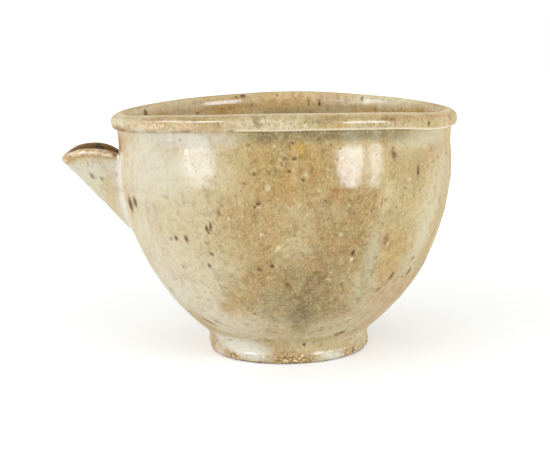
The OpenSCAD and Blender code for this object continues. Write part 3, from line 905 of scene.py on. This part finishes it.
def paint_patches(made):
    """Stores the patches' colour, cover and graininess on a piece's points."""
    mesh = made.data
    points = np.empty(3 * len(mesh.vertices))
    mesh.vertices.foreach_get("co", points)
    points = points.reshape(-1, 3) / MM
    wander, fray = (np.array([noise.noise_vector(Vector(p) / size) for p in points])
                    for size in (WANDER_SIZE, FRAY_SIZE))
    frayed = points + FRAY * fray
    drifted = frayed + WANDER * wander
    colour = np.tile(CREAM[:3], (len(points), 1))
    cover = np.zeros(len(points))
    grain = np.ones(len(points))
    for patch, oval in patch_ovals:
        moved = drifted if min(patch.wide, patch.tall) > BROAD_PX else frayed
        share = patch.share * covered(moved, oval, PATCH_SOFT)
        cover = cover + share - cover * share
        weight = share / np.maximum(cover, 1e-6)
        colour += weight[:, None] * (np.array(patch.colour[:3]) - colour)
        grain += weight * (patch.grain - grain)
    stored = mesh.attributes.new("patch", "FLOAT_VECTOR", "POINT")
    stored.data.foreach_set("vector", colour.astype(np.float32).ravel())
    store(mesh, "cover", cover)
    store(mesh, "grain", grain)


def glaze_colour(g, at, ragged):
    """Colour of the glaze, with painted light inside the bowl and painted shade under the rim, and how
    strongly its grain shows, by place in millimetres.
    """
    drifted = g.shaken(at, 9, 9, 3)
    cloud = g.noise(g.vector("MULTIPLY", drifted, (1, 1, 0.45)), 11, 3, 0.6)
    colour = g.mix(g.ramp(cloud, 0.38, 0.64), tone(192, 160, 100), tone(210, 186, 134))
    colour = g.mix(g.ramp(g.noise(drifted, 34, 2), 0.5, 0.66, 0, 0.7), colour, CREAM)
    drips = g.noise(g.vector("MULTIPLY", ragged, (1, 1, 0.14)), 2.8, 3)
    # The inside is painted paler than the outside: painted light for the light that the hollow doesn't get;
    # its brown drips are the glaze's own runs
    lining_with_painted_light = g.mix(g.ramp(cloud, 0.38, 0.64), tone(240, 208, 148), tone(250, 234, 196))
    lining_with_painted_light = g.mix(g.ramp(drips, 0.5, 0.3, 0, 0.4), lining_with_painted_light, tone(206, 162, 100))
    inside = g.mask("inside")
    colour = g.mix(g.times(inside, 0.85), colour, lining_with_painted_light)
    cover = g.mask("cover")
    colour = g.mix(cover, colour, g.node("Attribute", {}, attribute_name="patch")[0])
    grain = g.blend(cover, g.ramp(cloud, 0.35, 0.65, 1.0, 0.7), g.mask("grain"))
    runs = g.times(g.ramp(drips, 0.5, 0.7), g.times(grain, 0.3))
    colour = g.mix(runs, colour, tone(222, 204, 156))
    return under_rim(g, at, colour, inside), grain


def under_rim(g, at, colour, inside):
    """The grey-green band under the rolled rim, which thins out to the left: greener glaze pooled in the
    hollow, darkened as painted shade, and a dark line right under the rim, painted shade along the glaze's
    break there.
    """
    x, y, z = g.node("SeparateXYZ", {0: at})
    saddle = RIM_DIP / NECK_R ** 2
    by_x = g.times(x, g.math("MULTIPLY_ADD", x, saddle, 0.45 / RIM_R))
    by_y = g.times(y, g.times(y, -saddle))
    below = g.math("SUBTRACT", RIM_LOW_Z, g.add(z, g.add(by_x, by_y)))
    outside = g.times(g.ramp(below, -0.5, 0.1), g.math("SUBTRACT", 1.0, inside))
    right = g.times(g.times(g.ramp(x, -20, -4), g.ramp(x, 50, 30)), outside)
    wavy = g.math("MULTIPLY_ADD", g.noise(at, 5, 3), 3.0, below)
    # painted shade: the band is darker where the hollow neck under the rim lies in shade, as well as greener
    colour = g.mix(g.times(g.ramp(wavy, 6.6, 2.8), g.times(right, 0.9)), colour, tone(128, 115, 73))
    # painted shade: a dark line right under the rim, along the glaze's break at its edge
    crease_shade = g.add(g.times(right, 0.3), g.times(outside, 0.12))
    return g.mix(g.times(g.ramp(below, 0.75, 0.2), crease_shade), colour, tone(100, 78, 42))


def grained(g, at, ragged, colour, grain):
    """Mottles, sugary grain and small flecks; gives the colour and the fine grain's height."""

    def stained(value, low, high, share, stain):
        return g.mix(g.times(g.ramp(value, low, high), g.times(grain, share)), colour, stain)

    mottle = g.noise(at, 2.6, 4, 0.6)
    colour = stained(mottle, 0.5, 0.72, 0.42, tone(218, 197, 140))
    colour = stained(mottle, 0.5, 0.3, 0.58, tone(138, 106, 52))
    hue = g.noise(at, 4.5, 3)
    colour = stained(hue, 0.5, 0.66, 0.45, tone(194, 154, 94))
    colour = stained(hue, 0.5, 0.34, 0.45, tone(178, 157, 100))
    sugar = g.noise(g.vector("MULTIPLY", at, (1, 1, 0.75)), 0.7, 3, 0.6)
    colour = stained(sugar, 0.5, 0.72, 0.38, tone(234, 216, 168))
    colour = stained(sugar, 0.5, 0.28, 0.5, tone(124, 96, 50))
    cell = g.cells(g.vector("MULTIPLY", ragged, (1, 1, 0.7)), 3.6)
    pick = g.node("SeparateColor", {0: cell[1]})
    fleck = g.ramp(g.math("SUBTRACT", cell[0], g.times(g.math("POWER", pick[0], 4), 0.18)), 0.04, -0.06)
    colour = g.mix(g.times(fleck, 0.6), colour, tone(118, 84, 44))
    chip = g.ramp(g.math("SUBTRACT", cell[0], g.times(g.math("POWER", pick[1], 6), 0.2)), 0.04, -0.06)
    colour = g.mix(g.times(chip, g.times(grain, 0.3)), colour, tone(240, 224, 182))
    return colour, sugar


def slip_and_painted_highlight(g, at, colour):
    """Pale along the spout's seam: partly pale slip, partly a painted highlight."""
    share = g.times(g.mask("pale"), g.ramp(g.noise(at, 6, 3), 0.3, 0.6, 0.45, 0.95))
    return g.mix(share, colour, tone(231, 224, 206))


def marked(g, made, ragged, colour):
    """Pale chips and iron spots of one piece; gives the colour and how much iron there is."""
    for chip, oval in chip_ovals:
        if oval.piece == made:
            colour = g.mix(g.times(g.inside(ragged, oval, 0.7), chip.share), colour, tone(238, 222, 182))
    iron = 0.0
    for mark, oval in iron_ovals:
        if oval.piece == made:
            iron = g.math("MAXIMUM", iron, g.times(g.inside(ragged, oval, 0.8, SPOT_SPREAD), mark.share))
    colour = g.mix(g.ramp(iron, 0, 0.8, 0, 0.85), colour, tone(118, 78, 22))
    return g.mix(g.ramp(iron, 0.5, 1, 0, 0.8), colour, tone(76, 46, 8)), iron


def worn_and_painted_light(g, at, colour):
    """Unglazed, scorched and crusted places, and painted light: the pale crest line is partly a painted
    highlight, the spout's trough partly painted shade and the dark line along the foot's bottom partly
    painted contact shadow; gives the colour, the thin edges and the unglazed clay with that line.
    """
    rub = g.noise(at, 1.5, 4, 0.65)
    thin = g.mask("thin")
    stain = g.noise(at, 2.6, 3)
    colour = g.mix(g.times(g.ramp(g.add(thin, stain), 0.75, 1.1), 0.7), colour, tone(172, 134, 80))
    edge = g.ramp(g.add(thin, g.times(rub, 0.5)), 0.85, 1.2)
    bared = g.times(edge, 0.9)
    rubbed = g.mix(g.ramp(stain, 0.4, 0.6), tone(196, 160, 108), tone(238, 216, 178))
    colour = g.mix(bared, colour, rubbed)
    # pale crest line: partly thin glaze, partly a painted highlight on the front half of the rim
    colour = g.mix(g.times(g.mask("crest"), 0.95), colour, tone(255, 240, 205))
    scorched = g.times(g.mask("scorch"), g.ramp(g.noise(at, 4.5, 3), 0.4, 0.62))
    colour = g.mix(g.times(scorched, 0.8), colour, tone(140, 92, 46))
    # the trough: partly the iron-rich glaze's own brown, partly painted shade
    trough = g.mix(g.ramp(g.noise(at, 3.4, 3), 0.42, 0.6), tone(70, 40, 18), tone(138, 98, 54))
    colour = g.mix(g.times(g.mask("dark"), 0.9), colour, trough)
    crust = g.mask("crust")
    grit = g.noise(at, 1.0, 3, 0.7)
    crumb = g.mix(g.ramp(grit, 0.38, 0.5), tone(106, 76, 38), tone(200, 162, 98))
    crumb = g.mix(g.ramp(grit, 0.52, 0.62), crumb, tone(250, 228, 190))
    colour = g.mix(g.ramp(g.add(crust, g.times(stain, 1.6)), 1.05, 1.6, 0, 0.9), colour, crumb)
    z = g.node("SeparateXYZ", {0: at})[2]
    # The line along the foot's bottom is unglazed clay, and its dark colour also stands in as painted contact
    # shadow where the foot meets the floor
    foot_line = g.math("MULTIPLY_ADD", g.noise(at, 3.5, 3), -1.2, z)
    unglazed_and_contact_shade = g.math("MAXIMUM", g.mask("clay"), g.ramp(foot_line, 0.1, -0.2))
    clay = g.mix(g.noise(at, 0.8, 3, 0.7), tone(80, 52, 30), tone(158, 114, 70))
    return g.mix(unglazed_and_contact_shade, colour, clay), edge, unglazed_and_contact_shade


def make_glaze(made):
    """Ash glaze on one piece: milky where it is thick, golden and grainy where it is thin."""
    g = Graph(bpy.data.materials.new("ash_" + made.name))
    at = g.vector("MULTIPLY", g.node("TexCoord", {})["Object"], (1 / MM, 1 / MM, 1 / MM))
    ragged = g.shaken(at, 1.1, 1.2)
    colour, grain = glaze_colour(g, at, ragged)
    colour, sugar = grained(g, at, ragged, colour, grain)
    colour, edge, unglazed_and_contact_shade = worn_and_painted_light(g, at, slip_and_painted_highlight(g, at, colour))
    colour, iron = marked(g, made, ragged, colour)
    sugar_depth = 0.006 if made == rim else 0.016
    height = g.add(g.times(sugar, g.times(grain, sugar_depth)), g.times(g.noise(at, 3.2, 2), 0.03))
    height = g.math("MULTIPLY_ADD", iron, -0.02, height)
    normal = g.node("Bump", {"Strength": 1.0, "Distance": MM, "Height": height})[0]
    gloss = g.blend(edge, g.ramp(grain, 0.2, 0.9, 0.24, 0.13), 0.4)
    gloss = g.blend(g.ramp(iron, 0.1, 0.6), gloss, 0.6)
    if made == rim:
        gloss = g.math("MULTIPLY_ADD", g.mask("dull"), 0.35, gloss)
    glancing = g.node("LayerWeight", {"Blend": 0.5})["Facing"]
    gloss = g.add(gloss, g.ramp(glancing, 0.55, 0.8, 0, 0.4))
    roughness = g.blend(unglazed_and_contact_shade, gloss, 0.8)
    shader = g.node("BsdfPrincipled", {
        "Base Color": colour, "Roughness": roughness, "IOR": 1.5, "Normal": normal})
    g.node("OutputMaterial", {"Surface": shader[0]})
    return g.owner


def placed(spots, back_spots=()):
    """Each spot with its oval, in front and behind."""
    return [(spot, oval_at(spot)) for spot in spots] + [(spot, oval_at(spot, BEHIND)) for spot in back_spots]


iron_ovals = placed(IRON_MARKS, BACK_MARKS)
chip_ovals = placed(CHIPS)
patch_ovals = placed(PATCHES, BACK_PATCHES)
for made in pieces:
    paint_patches(made)
    made.data.materials.append(make_glaze(made))


# Floor, light and world
SCREEN_WHITE = 1.0
FLOOR_HALF = 2.0
GLOW_NEAR, GLOW_FAR = 0.355, 0.6
FILL = 0.29
FROM_ABOVE = 0.64
WARM_WHITE = (1.05, 1.0, 0.9, 1)
PLAIN_WHITE = (1, 1, 1, 1)


def shows_white(path, g):
    """1 for rays that see the background itself rather than its light."""
    seen = g.math("MAXIMUM", path["Is Camera Ray"], path["Is Glossy Ray"])
    return g.math("MAXIMUM", seen, path["Is Transmission Ray"])


def make_floor():
    mesh = bpy.data.meshes.new("floor")
    h = FLOOR_HALF
    mesh.from_pydata([(-h, -h, 0), (h, -h, 0), (h, h, 0), (-h, h, 0)], [], [(0, 1, 2, 3)])
    made = new_object("floor", mesh)
    g = Graph(bpy.data.materials.new("white_paper"))
    fibre = g.noise(g.node("TexCoord", {})["Object"], 0.02, 2)
    paper = g.node("BsdfDiffuse", {"Color": g.mix(fibre, tone(239, 244, 250), tone(242, 247, 253))})[0]
    path = g.node("LightPath", {})
    away = g.node("VectorMath", {0: g.node("TexCoord", {})["Object"]}, operation="LENGTH")[1]
    glow = g.times(shows_white(path, g), g.ramp(away, 0.08, 0.4, GLOW_NEAR, GLOW_FAR))
    glow = g.node("Emission", {"Strength": glow})[0]
    lit = g.node("AddShader", {0: paper, 1: glow})[0]
    mirrored = g.node("Emission", {"Strength": SCREEN_WHITE})[0]
    surface = g.node("MixShader", {0: path["Is Glossy Ray"], 1: lit, 2: mirrored})[0]
    g.node("OutputMaterial", {"Surface": surface})
    mesh.materials.append(g.owner)


def make_world():
    world = bpy.data.worlds.new("white_room")
    bpy.context.scene.world = world
    g = Graph(world)
    up = g.math("MAXIMUM", g.node("SeparateXYZ", {0: g.node("TexCoord", {})["Generated"]})[2], 0.0)
    lights = g.math("MULTIPLY_ADD", g.times(up, up), FROM_ABOVE, FILL)
    seen = shows_white(g.node("LightPath", {}), g)
    room = g.node("Background", {"Color": g.mix(seen, WARM_WHITE, PLAIN_WHITE),
                                 "Strength": g.blend(seen, lights, SCREEN_WHITE)})[0]
    g.node("OutputWorld", {"Surface": room})


COOL_WHITE = (0.88, 0.96, 1.1)


def make_card(name, bearing, wide, tall, brightness, base=2, mirrored_only=False, away=420):
    """An upright soft light at a bearing from the camera's side, turned to the axis."""
    data = bpy.data.lights.new(name, "AREA")
    data.shape = "ELLIPSE"
    data.size, data.size_y = wide * MM, tall * MM
    data.energy = brightness * math.pi * data.size * data.size_y
    data.color = COOL_WHITE
    made = new_object(name, data)
    turn = math.radians(bearing)
    made.location = Vector((away * math.sin(turn), -away * math.cos(turn), base + tall / 2)) * MM
    made.rotation_euler = (math.pi / 2, 0, turn)
    made.visible_diffuse = not mirrored_only


make_floor()
make_world()
make_card("right_card", 41, 124, 116, 8)
make_card("right_side_card", 58, 70, 110, 5.2)
make_card("right_top_card", 54, 240, 110, 4, base=130)
make_card("left_card", -55, 156, 110, 5.4)
make_card("left_glow_card", -60, 260, 150, 1.0)
make_card("left_top_card", -74, 380, 110, 3.2, base=130)
# Tall panes that the glossy rim mirrors
make_card("right_pane", 52, 250, 220, 4.6, base=100, mirrored_only=True)
make_card("left_pane", -66, 380, 310, 3.8, base=90, mirrored_only=True)
make_card("left_near_pane", -46, 130, 270, 8, base=95, mirrored_only=True)
bpy.context.scene.view_settings.view_transform = "Standard"
